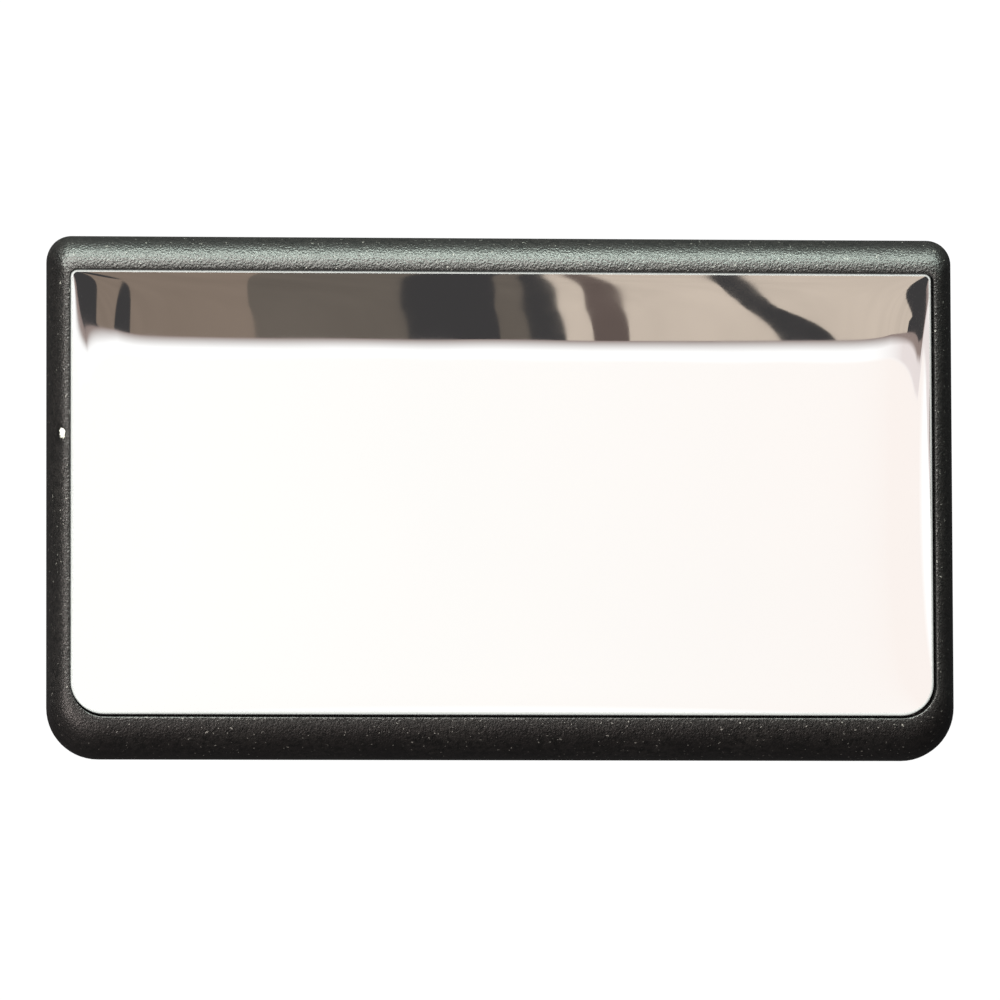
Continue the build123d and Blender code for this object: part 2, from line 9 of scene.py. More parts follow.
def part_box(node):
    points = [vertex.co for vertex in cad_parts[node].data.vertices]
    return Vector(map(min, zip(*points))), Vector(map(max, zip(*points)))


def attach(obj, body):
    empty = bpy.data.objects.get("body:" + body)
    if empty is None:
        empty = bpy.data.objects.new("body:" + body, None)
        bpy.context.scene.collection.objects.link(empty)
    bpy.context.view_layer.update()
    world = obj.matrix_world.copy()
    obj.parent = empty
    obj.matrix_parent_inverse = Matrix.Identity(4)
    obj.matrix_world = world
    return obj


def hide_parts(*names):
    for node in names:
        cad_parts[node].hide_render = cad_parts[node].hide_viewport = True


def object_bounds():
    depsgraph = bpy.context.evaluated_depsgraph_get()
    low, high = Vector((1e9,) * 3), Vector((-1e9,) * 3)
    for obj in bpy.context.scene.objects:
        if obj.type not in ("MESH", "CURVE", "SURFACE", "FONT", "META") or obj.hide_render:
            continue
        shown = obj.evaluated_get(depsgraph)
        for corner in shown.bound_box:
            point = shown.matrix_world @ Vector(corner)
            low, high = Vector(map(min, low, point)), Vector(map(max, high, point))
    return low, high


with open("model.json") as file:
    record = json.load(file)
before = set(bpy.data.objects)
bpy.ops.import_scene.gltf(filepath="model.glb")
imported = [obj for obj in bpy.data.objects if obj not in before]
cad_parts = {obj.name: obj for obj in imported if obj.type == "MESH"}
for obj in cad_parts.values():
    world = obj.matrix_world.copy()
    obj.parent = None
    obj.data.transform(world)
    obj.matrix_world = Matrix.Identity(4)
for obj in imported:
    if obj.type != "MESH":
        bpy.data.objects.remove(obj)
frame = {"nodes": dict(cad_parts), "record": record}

CAD_LOW, CAD_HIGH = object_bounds()
MM = 0.001

# ---- The head's own sizes, in metres ----
# Boxes come from the CAD frame; the radii and the profile follow the same moulding.
FRAME_LOW, FRAME_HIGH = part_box("front_frame")
LENS_LOW, LENS_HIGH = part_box("mirror_lens")
TAPE_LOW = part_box("lens_tape")[0]

SKIRT = 6.0 * MM
WALL = 2.5 * MM
TOP_RADIUS = 11.0 * MM
BOTTOM_RADIUS = 23.0 * MM
LENS_TOP_RADIUS = 3.0 * MM
LENS_BOTTOM_RADIUS = 14.5 * MM
LENS_THICKNESS = 3.0 * MM
LENS_FALL_X = 0.3
LENS_FALL_Z = 0.4
LENS_ROLL_X = 20
LENS_ROLL_Z = 14
LENS_ROLL_LEAST = 1e-4  # keeps the division finite where the dome reaches its edge
LENS_RIM = 1.0 * MM
LENS_SHIFT = (-0.5 * MM, 0.0, 0.6 * MM)  # how the tape happens to hold the lens in its rebate
GAP = 0.8 * MM
LIP_RADIUS = 0.6 * MM
# Place and size of the nick in the left rail, where a glint is painted in as a pale spot with painted shade
# round it.
NICK_GLINT_PLACE = (-0.1968, 0.0262)
NICK_GLINT_WIDTH = 1.9 * MM
NICK_GLINT_HEIGHT = 3.8 * MM
LEDGE_DEPTH = 4.5 * MM  # from the frame's front down to the ledge that the lens sits on
LEDGE_WIDTH = 7.0 * MM
LEDGE_THICKNESS = 2.5 * MM
LEDGE_ROOT = 1.0 * MM  # how far outside the lip the ledge's back meets the rolled wall
LEDGE_EDGE = 0.2 * MM
BACK_EDGE = 0.4 * MM
BACK_EDGE_MIDDLE = 0.12 * MM
BACK_INNER_EDGE = 0.3 * MM
LEAST_RADIUS = 0.4 * MM

ARC_STEPS = 14
SIDE_STEPS = 64
SKIRT_STEPS = 5
ROLL_STEPS = 28
LIP_STEPS = 4
DOME_STEPS = 110
RIM_STEPS = 6


# ---- Mesh helpers ----
def rounded_ring(half_width, half_height, top_radius, bottom_radius):
    """Points (x, z) round a rectangle with rounded corners, counter-clockwise from the right.

    The count is the same whatever the size, so rings can be joined one to the next. The points are
    closest near the corners.
    """
    corners = (
        (1, 1, top_radius, 0),
        (-1, 1, top_radius, 90),
        (-1, -1, bottom_radius, 180),
        (1, -1, bottom_radius, 270),
    )
    arcs = []
    for x_sign, z_sign, radius, start in corners:
        centre_x = x_sign * (half_width - radius)
        centre_z = z_sign * (half_height - radius)
        arc = []
        for step in range(ARC_STEPS + 1):
            angle = math.radians(start + 90 * step / ARC_STEPS)
            arc.append((centre_x + radius * math.cos(angle), centre_z + radius * math.sin(angle)))
        arcs.append(arc)
    points = []
    for index, arc in enumerate(arcs):
        points.extend(arc)
        following = arcs[(index + 1) % 4][0]
        for step in range(1, SIDE_STEPS):
            share = (1 - math.cos(math.pi * step / SIDE_STEPS)) / 2
            points.append(
                (
                    arc[-1][0] + (following[0] - arc[-1][0]) * share,
                    arc[-1][1] + (following[1] - arc[-1][1]) * share,
                )
            )
    return points


def mesh_object(name, vertices, faces, smooth=True):
    """New object from vertices and faces, with its normals outwards."""
    mesh = bpy.data.meshes.new(name)
    mesh.from_pydata(vertices, [], faces)
    shape = bmesh.new()
    shape.from_mesh(mesh)
    bmesh.ops.recalc_face_normals(shape, faces=shape.faces)
    shape.to_mesh(mesh)
    shape.free()
    mesh.polygons.foreach_set("use_smooth", [smooth] * len(mesh.polygons))
    piece = bpy.data.objects.new(name, mesh)
    bpy.context.scene.collection.objects.link(piece)
    return piece


def ring_faces(rows, count, closed):
    """Quads between rows of points, and from the last row back to the first if closed."""
    faces = []
    pairs = rows if closed else rows - 1
    for row in range(pairs):
        following = (row + 1) % rows
        for column in range(count):
            beside = (column + 1) % count
            faces.append(
                (
                    row * count + column,
                    row * count + beside,
                    following * count + beside,
                    following * count + column,
                )
            )
    return faces


# ---- Visible pieces that stand for CAD nodes ----
def frame_profile():
    """The frame's outside from its back to its lip, as (share, inset, depth), and two depths.

    share runs from the outer outline, 0, to the lip's, 1; inset is a further distance inwards, and
    depth is the distance forward of the frame's back. The two depths are the frame's own and the
    ledge's front.
    """
    full_depth = FRAME_HIGH.y - FRAME_LOW.y
    roll = full_depth - SKIRT
    ledge_front = full_depth - LEDGE_DEPTH
    profile = []
    for step in range(SKIRT_STEPS):
        profile.append((0.0, 0.0, BACK_EDGE + (SKIRT - BACK_EDGE) * step / SKIRT_STEPS))
    for step in range(ROLL_STEPS + 1):
        angle = math.radians(90 * step / ROLL_STEPS)
        profile.append((1 - math.cos(angle), 0.0, SKIRT + roll * math.sin(angle)))
    return profile, full_depth, ledge_front


def build_frame():
    """Rolled plastic frame as one closed ring of rounded outlines."""
    profile, full_depth, ledge_front = frame_profile()
    outer_half = ((FRAME_HIGH.x - FRAME_LOW.x) / 2, (FRAME_HIGH.z - FRAME_LOW.z) / 2)
    lens_half = ((LENS_HIGH.x - LENS_LOW.x) / 2, (LENS_HIGH.z - LENS_LOW.z) / 2)
    lip_half = (lens_half[0] + GAP + LIP_RADIUS, lens_half[1] + GAP + LIP_RADIUS)
    lip_top = LENS_TOP_RADIUS + GAP + LIP_RADIUS
    lip_bottom = LENS_BOTTOM_RADIUS + GAP + LIP_RADIUS

    def mixed(share, inset):
        """Outline between the outer one, share 0, and the lip's, share 1."""
        half_x = outer_half[0] + (lip_half[0] - outer_half[0]) * share - inset
        half_z = outer_half[1] + (lip_half[1] - outer_half[1]) * share - inset
        top = max(TOP_RADIUS + (lip_top - TOP_RADIUS) * share - inset, LEAST_RADIUS)
        bottom = max(BOTTOM_RADIUS + (lip_bottom - BOTTOM_RADIUS) * share - inset, LEAST_RADIUS)
        return rounded_ring(half_x, half_z, top, bottom)

    rows = [(mixed(share, inset), depth) for share, inset, depth in profile]
    for step in range(1, LIP_STEPS + 1):
        angle = math.radians(90 * step / LIP_STEPS)
        inset = LIP_RADIUS * math.sin(angle)
        rows.append((mixed(1.0, inset), full_depth - LIP_RADIUS * (1 - math.cos(angle))))
    rows.append((mixed(1.0, LIP_RADIUS), ledge_front + LEDGE_EDGE))
    rows.append((mixed(1.0, LIP_RADIUS), ledge_front))
    inner = LIP_RADIUS + GAP + LEDGE_WIDTH
    rows.append((mixed(1.0, inner - LEDGE_EDGE), ledge_front))
    rows.append((mixed(1.0, inner), ledge_front - LEDGE_EDGE))
    rows.append((mixed(1.0, inner), ledge_front - LEDGE_THICKNESS))
    rows.append((mixed(1.0, LIP_RADIUS - LEDGE_ROOT), ledge_front - LEDGE_THICKNESS))
    rows.append((mixed(0.0, WALL), SKIRT))
    rows.append((mixed(0.0, WALL), BACK_INNER_EDGE))
    rows.append((mixed(0.0, WALL - BACK_INNER_EDGE), 0.0))
    rows.append((mixed(0.0, BACK_EDGE), 0.0))
    rows.append((mixed(0.0, BACK_EDGE_MIDDLE), BACK_EDGE_MIDDLE))
    vertices = []
    for outline, depth in rows:
        vertices.extend((x, FRAME_HIGH.y - depth, z) for x, z in outline)
    faces = ring_faces(len(rows), len(rows[0][0]), closed=True)
    piece = mesh_object("frame_moulding", vertices, faces)
    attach(piece, "head")
    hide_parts("front_frame")
    return piece


def dome_height(x, z, half_width, half_height, crown):
    """Height of the lens's dome over its edge: a shallow cap, rolled down to nothing round its rim.

    Near a corner the nearer side's roll counts for more than the other's.
    """
    across = min(abs(x / half_width), 1.0)
    upward = min(abs(z / half_height), 1.0)
    cap = crown * (1 - LENS_FALL_X * across**2 - LENS_FALL_Z * upward**2)
    beside = max(1 - across**LENS_ROLL_X, LENS_ROLL_LEAST)
    above = max(1 - upward**LENS_ROLL_Z, LENS_ROLL_LEAST)
    return cap / math.sqrt(beside**-2 + above**-2 - 1)


def build_lens():
    """Acrylic lens: a domed sheet with a polished round along its front rim."""
    half_width = (LENS_HIGH.x - LENS_LOW.x) / 2
    half_height = (LENS_HIGH.z - LENS_LOW.z) / 2
    edge_y = TAPE_LOW.y - LENS_THICKNESS
    crown = edge_y - LENS_LOW.y
    shares = [
        math.sin(math.radians(90 * (step + 0.5) / (DOME_STEPS + 0.5))) for step in range(DOME_STEPS + 1)
    ]

    def ring(inset):
        """Lens's outline, moved inwards."""
        return rounded_ring(
            half_width - inset,
            half_height - inset,
            LENS_TOP_RADIUS - inset,
            LENS_BOTTOM_RADIUS - inset,
        )

    def front(x, z):
        """Place of the lens's front face along y."""
        return edge_y - dome_height(x, z, half_width, half_height, crown)

    rows = []
    for share in shares:
        rows.append([(x * share, front(x * share, z * share), z * share) for x, z in ring(LENS_RIM)])
    for step in range(1, RIM_STEPS + 1):
        angle = math.radians(90 * step / RIM_STEPS)
        drop = LENS_RIM * (1 - math.cos(angle))
        outline = ring(LENS_RIM * (1 - math.sin(angle)))
        rows.append([(x, front(x, z) + drop, z) for x, z in outline])
    rows.append([(x, front(x, z) + LENS_THICKNESS, z) for x, z in ring(0.0)])
    for share in shares[::-3]:
        rows.append(
            [(x * share, front(x * share, z * share) + LENS_THICKNESS, z * share) for x, z in ring(LENS_RIM)]
        )
    count = len(rows[0])
    vertices = [point for row in rows for point in row]
    faces = ring_faces(len(rows), count, closed=False)
    faces.append(tuple(range(count)))
    faces.append(tuple(range((len(rows) - 1) * count, len(rows) * count)))
    piece = mesh_object("mirror_sheet", vertices, faces)
    piece.data.materials.append(mirror_coating())
    piece.data.materials.append(glowing_acrylic_edge())
    piece.data.materials.append(mirror_back_paint())
    first_rim = DOME_STEPS * count
    last_rim = (DOME_STEPS + RIM_STEPS + 1) * count
    slots = []
    for index, polygon in enumerate(piece.data.polygons):
        if index < first_rim:
            slots.append(0)
        elif index < last_rim:
            slots.append(1)
        else:
            slots.append(2)
    slots[-2] = 0
    piece.data.polygons.foreach_set("material_index", slots)
    piece.location = LENS_SHIFT
    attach(piece, "head")
    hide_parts("mirror_lens")
    return piece


# ---- Materials ----
class Shader:
    """A node material under construction."""

    def __init__(self, name):
        self.material = bpy.data.materials.new(name)
        self.material.use_nodes = True
        self.tree = self.material.node_tree
        self.surface = self.tree.nodes["Principled BSDF"]
        self.place = self.tree.nodes.new("ShaderNodeTexCoord").outputs["Object"]

    def set(self, **values):
        """Set the shader's own sockets; an underscore in a name stands for a space."""
        for name, value in values.items():
            self.surface.inputs[name.replace("_", " ")].default_value = value

    def link(self, output, name):
        """Drive one of the shader's own sockets."""
        self.tree.links.new(output, self.surface.inputs[name])

    def node(self, kind, inputs=None, **settings):
        """New node; each input is a value or another node's output."""
        made = self.tree.nodes.new(kind)
        for name, value in settings.items():
            setattr(made, name, value)
        for name, value in (inputs or {}).items():
            if isinstance(value, bpy.types.NodeSocket):
                self.tree.links.new(value, made.inputs[name])
            else:
                made.inputs[name].default_value = value
        return made

    def noise(self, scale, detail=4.0, roughness=0.55, vector=None):
        """Noise with features about 1 / scale metres across."""
        inputs = {
            "Vector": vector or self.place,
            "Scale": scale,
            "Detail": detail,
            "Roughness": roughness,
        }
        return self.node("ShaderNodeTexNoise", inputs).outputs["Fac"]

    def cells(self, scale):
        """Distance to the nearest of scattered points about 1 / scale metres apart."""
        inputs = {"Vector": self.place, "Scale": scale}
        return self.node("ShaderNodeTexVoronoi", inputs, feature="F1").outputs["Distance"]

    def remap(self, value, low, high, to_low=0.0, to_high=1.0):
        """Value carried from one range to another, and held at its ends."""
        inputs = {
            "Value": value,
            "From Min": low,
            "From Max": high,
            "To Min": to_low,
            "To Max": to_high,
        }
        return self.node("ShaderNodeMapRange", inputs).outputs["Result"]

    def math(self, operation, first, second):
        return self.node("ShaderNodeMath", {0: first, 1: second}, operation=operation).outputs[0]

    def mix(self, factor, first, second):
        inputs = {"Factor": factor, 6: first, 7: second}
        return self.node("ShaderNodeMix", inputs, data_type="RGBA").outputs[2]

    def bump(self, height, strength, distance):
        inputs = {"Height": height, "Strength": strength, "Distance": distance}
        return self.node("ShaderNodeBump", inputs).outputs["Normal"]

    def emit(self, colour):
        """Let the material glow in a colour instead of reflecting light."""
        light = self.node("ShaderNodeEmission", {"Color": colour, "Strength": 1.0})
        output = self.tree.nodes["Material Output"]
        self.tree.links.new(light.outputs[0], output.inputs["Surface"])


def black_moulding(name, dust=1.0, nick_glint=None):
    """Black ABS with a fine moulded grain, dust in the grain and a few rubbed patches.

    The last argument is where a nick in the rail sits, as (x, z), if there is one; its glint is painted in as
    a pale spot, with a painted dark ring of shade round it.
    """
    shader = Shader(name)
    pebbles = shader.cells(900.0)
    fine = shader.noise(1150.0, detail=1.0)
    wander = shader.noise(420.0, detail=2.0)
    grain = shader.math("ADD", shader.math("MULTIPLY", pebbles, 0.6), shader.math("MULTIPLY", fine, 0.9))
    grain = shader.math("ADD", grain, shader.math("MULTIPLY", wander, 0.25))
    specks = shader.remap(shader.noise(700.0, detail=1.0), 0.71, 0.77)
    patches = shader.noise(26.0, detail=5.0)
    rubbed = shader.remap(patches, 0.42, 0.72)
    valleys = shader.remap(wander, 0.35, 0.62)
    tone = shader.mix(rubbed, (0.007, 0.0065, 0.0065, 1), (0.012, 0.0115, 0.011, 1))
    tone = shader.mix(valleys, (0.004, 0.004, 0.004, 1), tone)
    tone = shader.mix(shader.math("MULTIPLY", specks, 0.4 * dust), tone, (0.26, 0.26, 0.24, 1))
    roughness = shader.remap(patches, 0.3, 0.75, 0.42, 0.34)
    # Painted glint on the nick: a pale spot, and a painted dark ring of shade round it.
    if nick_glint is not None:
        spot = shader.node(
            "ShaderNodeMapping",
            {
                "Vector": shader.place,
                "Location": (nick_glint[0], 0.0, nick_glint[1]),
                "Scale": (NICK_GLINT_WIDTH, 1.0, NICK_GLINT_HEIGHT),
            },
            vector_type="TEXTURE",
        ).outputs["Vector"]
        flat = shader.node("ShaderNodeVectorMath", {0: spot, 1: (1, 0, 1)}, operation="MULTIPLY").outputs[0]
        reach = shader.node("ShaderNodeVectorMath", {0: flat}, operation="LENGTH").outputs["Value"]
        ragged = shader.math("ADD", reach, shader.math("MULTIPLY", wander, 1.3))
        # The outer mask paints the shade round the nick, the inner one paints its glint, which also raises
        # the bump.
        painted_shade_ring = shader.remap(ragged, 2.3, 1.8)
        painted_glint = shader.remap(ragged, 1.30, 1.05)
        tone = shader.mix(painted_shade_ring, tone, (0.002, 0.002, 0.002, 1))
        # Colour of the painted glint: a pale highlight with the fine grain in it.
        glint_colour = shader.mix(fine, (0.25, 0.26, 0.22, 1), (0.95, 0.97, 0.90, 1))
        tone = shader.mix(painted_glint, tone, glint_colour)
        grain = shader.math("ADD", grain, shader.math("MULTIPLY", painted_glint, 0.8))
    shader.link(tone, "Base Color")
    shader.link(roughness, "Roughness")
    shader.link(shader.bump(grain, 0.65, 0.00040), "Normal")
    shader.set(IOR=1.52)
    return shader.material


def mirror_coating():
    """Bright metal film seen through clear acrylic, with a trace of waviness and wiped haze."""
    shader = Shader("mirror_coating")
    haze = shader.remap(shader.noise(38.0, detail=6.0), 0.35, 0.8, 0.012, 0.045)
    shader.link(haze, "Roughness")
    tint = shader.mix(shader.noise(9.0, detail=2.0), (0.93, 0.935, 0.93, 1), (0.96, 0.955, 0.945, 1))
    shader.link(tint, "Base Color")
    shader.link(shader.bump(shader.noise(14.0, detail=1.0), 0.05, 0.002), "Normal")
    shader.set(Metallic=1.0, Coat_Weight=0.35, Coat_Roughness=0.02, Coat_IOR=1.49)
    return shader.material


def glowing_acrylic_edge():
    """Polished edge of the clear sheet with fine saw marks; its glow is painted light, standing for light
    piped through the sheet.
    """
    shader = Shader("glowing_acrylic_edge")
    marks = shader.noise(1400.0, detail=3.0)
    shader.link(shader.mix(marks, (0.62, 0.66, 0.64, 1), (0.80, 0.83, 0.81, 1)), "Base Color")
    shader.link(shader.remap(marks, 0.3, 0.7, 0.12, 0.24), "Roughness")
    shader.link(shader.bump(marks, 0.15, 0.0001), "Normal")
    shader.set(IOR=1.49, Coat_Weight=0.6, Coat_Roughness=0.06)
    # Painted glow: emission that lights the rim line without any lamp.
    shader.set(Emission_Color=(0.85, 0.90, 0.86, 1), Emission_Strength=0.38)
    return shader.material


def mirror_back_paint():
    """Grey protective lacquer over the metal film."""
    shader = Shader("mirror_back_paint")
    coat = shader.noise(240.0, detail=4.0)
    shader.link(shader.mix(coat, (0.16, 0.165, 0.17, 1), (0.22, 0.225, 0.23, 1)), "Base Color")
    shader.link(shader.remap(coat, 0.3, 0.7, 0.45, 0.6), "Roughness")
    shader.link(shader.bump(coat, 0.2, 0.0002), "Normal")
    return shader.material


def zinc_plate():
    """Bright zinc plate with drawn marks and cloudy passivation."""
    shader = Shader("zinc_plate")
    cloud = shader.noise(180.0, detail=5.0)
    marks = shader.noise(1800.0, detail=2.0)
    shader.link(shader.mix(cloud, (0.50, 0.51, 0.52, 1), (0.68, 0.67, 0.62, 1)), "Base Color")
    shader.link(shader.remap(cloud, 0.3, 0.75, 0.22, 0.42), "Roughness")
    shader.link(shader.bump(marks, 0.12, 0.00008), "Normal")
    shader.set(Metallic=1.0)
    return shader.material


def powder_coat(name, peel, depth):
    """Black powder coat with an orange-peel surface and chalky high spots."""
    shader = Shader(name)
    skin = shader.noise(peel, detail=2.0)
    scuffs = shader.remap(shader.noise(70.0, detail=8.0, roughness=0.7), 0.60, 0.72)
    shader.link(shader.mix(scuffs, (0.014, 0.014, 0.015, 1), (0.045, 0.045, 0.044, 1)), "Base Color")
    shader.link(shader.remap(skin, 0.3, 0.7, 0.30, 0.46), "Roughness")
    shader.link(shader.bump(skin, 0.5, depth), "Normal")
    shader.set(IOR=1.5)
    return shader.material


def nylon():
    """Natural nylon, slightly translucent."""
    shader = Shader("nylon")
    cloud = shader.noise(300.0, detail=3.0)
    shader.link(shader.mix(cloud, (0.70, 0.67, 0.57, 1), (0.80, 0.78, 0.70, 1)), "Base Color")
    shader.link(shader.remap(cloud, 0.3, 0.7, 0.35, 0.5), "Roughness")
    shader.link(shader.bump(cloud, 0.2, 0.0001), "Normal")
    shader.set(Subsurface_Weight=0.15, Subsurface_Scale=0.002)
    return shader.material


def foam():
    """Closed-cell foam tape."""
    shader = Shader("foam")
    bubbles = shader.cells(2200.0)
    shader.link(shader.mix(bubbles, (0.02, 0.02, 0.02, 1), (0.06, 0.06, 0.06, 1)), "Base Color")
    shader.link(shader.remap(bubbles, 0.0, 0.6, 0.8, 0.95), "Roughness")
    shader.link(shader.bump(bubbles, 0.6, 0.0003), "Normal")
    return shader.material


def dress_cad_nodes():
    """Give each CAD node that stays visible its finish."""
    finishes = {
        "cover_abs": black_moulding("cover_grain", dust=0.5),
        "zinc_steel": zinc_plate(),
        "black_steel": powder_coat("powder_coat_sheet", 900.0, 0.0002),
        "cast_zinc": powder_coat("powder_coat_casting", 500.0, 0.0004),
        "nylon": nylon(),
        "foam_tape": foam(),
    }
    for part in frame["record"]["subparts"]:
        finish = finishes.get(part["material_slot"])
        if finish is None:
            continue
        node = frame["nodes"][part["node"]]
        node.data.materials.clear()
        node.data.materials.append(finish)


# ---- Stage ----
# What the mirror shows is set out on a plane in front of it: a bright table, and a dim room above it.
# Sizes and places here are in metres, across and up from the middle of the wall plate.
SET_DISTANCE = 1.5  # from the wall to the plane of the set
TABLE_DEPTH = 0.02  # how far in front of that plane a card stands, on the mirror's side of it
ROOM_DEPTH = 0.0
BACKGROUND_DEPTH = -0.010

TABLE_EDGE = 0.36  # height of the table's far edge
TABLE_BLUR = 0.014  # half of the width over which that edge fades
TABLE_STRIP = (0.036, 0.030)  # how far below the edge the bright strip gives way to the table's white
TABLE_LEFT, TABLE_RIGHT, TABLE_FOOT = -3.0, 3.5, -6.0
# The edge drops towards the sides and comes back up beyond them: from where, to where, and how far.
TABLE_DROPS = (
    (-0.35, -0.90, 0.054),
    (-1.45, -1.60, -0.054),
    (0.60, 1.25, 0.042),
    (1.42, 1.55, -0.042),
)
TABLE_COOL = (1.07, 1.07, 1.055, 1)
TABLE_WARM = (1.02, 0.945, 0.91, 1)
TABLE_BRIGHT = (1.1, 1.1, 1.1, 1)
TABLE_VEIL = (0.84, 0.765, 0.755, 1)
TABLE_SHADE = (0.30, 0.235, 0.215, 1)

SLATE = (0.048, 0.046, 0.047)
GREY_BROWN = (0.135, 0.115, 0.098)
MAUVE_BROWN = (0.125, 0.095, 0.085)
TAUPE = (0.230, 0.180, 0.145)
BEIGE = (0.600, 0.510, 0.430)

# The room stands just behind the table's edge. Its upright things lean to the right as they rise:
# the height of the knee where that starts, and how fast the lean then grows.
ROOM_FOOT = 0.34
ROOM_TOP = 5.5
ROOM_LEAN = 0.0425
NEAR_LEAN = (0.6, 1.27)
FAR_LEAN = (0.9, 1.38)  # the post's and the window's right side's
SIDE_SAMPLES = 30

# Where the left and the right side of each upright thing are below its knee.
WALL_MIDDLE = (-0.080, 0.037)
COLUMN = (0.106, 0.128)
LAMP = (0.154, 0.175)
CABINET = (0.175, 0.202)
POST = (0.292, 0.316)
POST_SPLAY = (0.032, 0.071)  # how much further to the right its sides are at its foot
POST_SPLAY_HEIGHT = 0.71

WALL_LEFT_RIGHT_SIDE = -0.060
WALL_LEFT_SWEEP = (-0.30, 0.75)  # reach and offset of a side that sweeps: see swept
BLIND_SWEEPS = ((-0.214, 0.0), (-0.213, 0.2))
BLIND_FOOT, BLIND_TOP = 0.36, 1.2
WINDOW_LEFT = 0.190
WINDOW_RIGHT = 0.40
WINDOW_SWEEP = (0.07, -0.25)
SILL_HEIGHT = 0.385
SILL_RIGHT = 0.86

FLOOR_HALF = 6.0
FLOOR_DROP = 0.80  # from the object's lowest point

# ---- Camera ----
CAMERA_AZIMUTH = -4.4
CAMERA_ELEVATION = -5.4
CAMERA_ROLL = -0.2
CAMERA_DISTANCE = 4.87
CAMERA_TARGET = (-0.0008, -0.0014)  # across and up
VIEW_WIDTH = 0.4467  # at the target
SENSOR_WIDTH = 36.0  # millimetres, as Blender has it
CLIP_END = 60.0


def glow(name, colour):
    """Glowing material, a little uneven from side to side."""
    shader = Shader(name)
    stretched = shader.node("ShaderNodeMapping", {"Vector": shader.place, "Scale": (1.0, 1.0, 0.06)})
    patches = shader.remap(shader.noise(16.0, detail=3.0, vector=stretched.outputs["Vector"]), 0.3, 0.7)
    dim = (*(0.93 * part for part in colour), 1)
    bright = (*(1.05 * part for part in colour), 1)
    shader.emit(shader.mix(patches, dim, bright))
    return shader.material


def table_glow():
    """Glow of the table: soft at its far edge, then a bright strip, then a white warmer to the right."""
    shader = Shader("table_glow")
    axes = shader.node("ShaderNodeSeparateXYZ", {"Vector": shader.place}).outputs
    height = axes["Z"]
    for start, end, fall in TABLE_DROPS:
        height = shader.math("ADD", height, shader.remap(axes["X"], start, end, 0.0, fall))
    sides = shader.remap(shader.math("ABSOLUTE", axes["X"], 0.0), 0.5, 0.9, TABLE_BLUR, 0.3 * TABLE_BLUR)
    above_edge = shader.math("SUBTRACT", height, TABLE_EDGE)
    lit = shader.remap(shader.math("DIVIDE", above_edge, sides), 1.0, -1.0)
    strip = shader.remap(height, TABLE_EDGE - TABLE_STRIP[0], TABLE_EDGE - TABLE_STRIP[1])
    beyond = shader.remap(axes["Z"], -1.6, -2.2)
    beside = shader.remap(axes["X"], 1.6, 2.0)
    warmth = shader.remap(axes["X"], -0.15, 0.65)
    colour = shader.mix(warmth, TABLE_COOL, TABLE_WARM)
    for bright in (strip, beyond, beside):
        colour = shader.mix(bright, colour, TABLE_BRIGHT)
    veil = shader.math("MULTIPLY", shader.remap(axes["X"], 0.45, 0.80), strip)
    colour = shader.mix(veil, colour, TABLE_VEIL)
    shader.emit(shader.mix(lit, TABLE_SHADE, colour))
    return shader.material


def card(name, corners, depth, material):
    """Flat glowing card on the plane of the set that only reflections see."""
    points = [(x, -SET_DISTANCE + depth, z) for x, z in corners]
    piece = mesh_object(name, points, [tuple(range(len(points)))], smooth=False)
    piece.data.materials.append(material)
    piece.visible_camera = False
    piece.visible_shadow = False
    piece.visible_diffuse = False
    return piece


def lean(height, knee, growth):
    """How far to the right a thing has leant at a height."""
    return ROOM_LEAN * max(height - knee, 0.0) ** growth


def upright(foot):
    """Side of an upright thing, as a function of height."""
    return lambda height: foot + lean(height, *NEAR_LEAN)


def post_side(foot, splay):
    """Side of the post, which spreads towards its foot."""

    def side(height):
        below = max(POST_SPLAY_HEIGHT - height, 0.0) / (POST_SPLAY_HEIGHT - ROOM_FOOT)
        return foot + lean(height, *FAR_LEAN) + splay * below**2

    return side


def swept(reach, offset):
    """Side that draws in towards the middle as it rises."""
    return lambda height: reach / (height + offset)


def window_right(height):
    """Right side of the window, which sweeps outwards as it comes down."""
    return WINDOW_RIGHT + swept(*WINDOW_SWEEP)(height) + lean(height, *FAR_LEAN)


def room_card(name, colour, left, right, depth, foot=ROOM_FOOT, top=ROOM_TOP):
    """Card between two sides, each a function of height."""
    heights = [foot + (top - foot) * (step / SIDE_SAMPLES) ** 2 for step in range(SIDE_SAMPLES + 1)]
    outline = [(left(height), height) for height in heights]
    outline.extend((right(height), height) for height in reversed(heights))
    card(name, outline, depth, glow(name, colour))


def build_room():
    """Window, walls, column, lamp, cabinet, post and blind, the nearer ones in front."""
    back = BACKGROUND_DEPTH
    room_card("window", BEIGE, upright(WINDOW_LEFT), window_right, back, foot=SILL_HEIGHT)
    room_card("window_sill", BEIGE, upright(WINDOW_LEFT), lambda height: SILL_RIGHT, back, top=SILL_HEIGHT)
    room_card("wall_left", TAUPE, swept(*WALL_LEFT_SWEEP), upright(WALL_LEFT_RIGHT_SIDE), back)
    room_card("wall_middle", GREY_BROWN, *map(upright, WALL_MIDDLE), ROOM_DEPTH)
    room_card("column", GREY_BROWN, *map(upright, COLUMN), ROOM_DEPTH)
    room_card("lamp", BEIGE, *map(upright, LAMP), ROOM_DEPTH)
    room_card("cabinet", MAUVE_BROWN, *map(upright, CABINET), ROOM_DEPTH)
    room_card("post", SLATE, *map(post_side, POST, POST_SPLAY), ROOM_DEPTH)
    blind_left, blind_right = (swept(*sweep) for sweep in BLIND_SWEEPS)
    room_card("blind", TAUPE, blind_left, blind_right, ROOM_DEPTH, foot=BLIND_FOOT, top=BLIND_TOP)


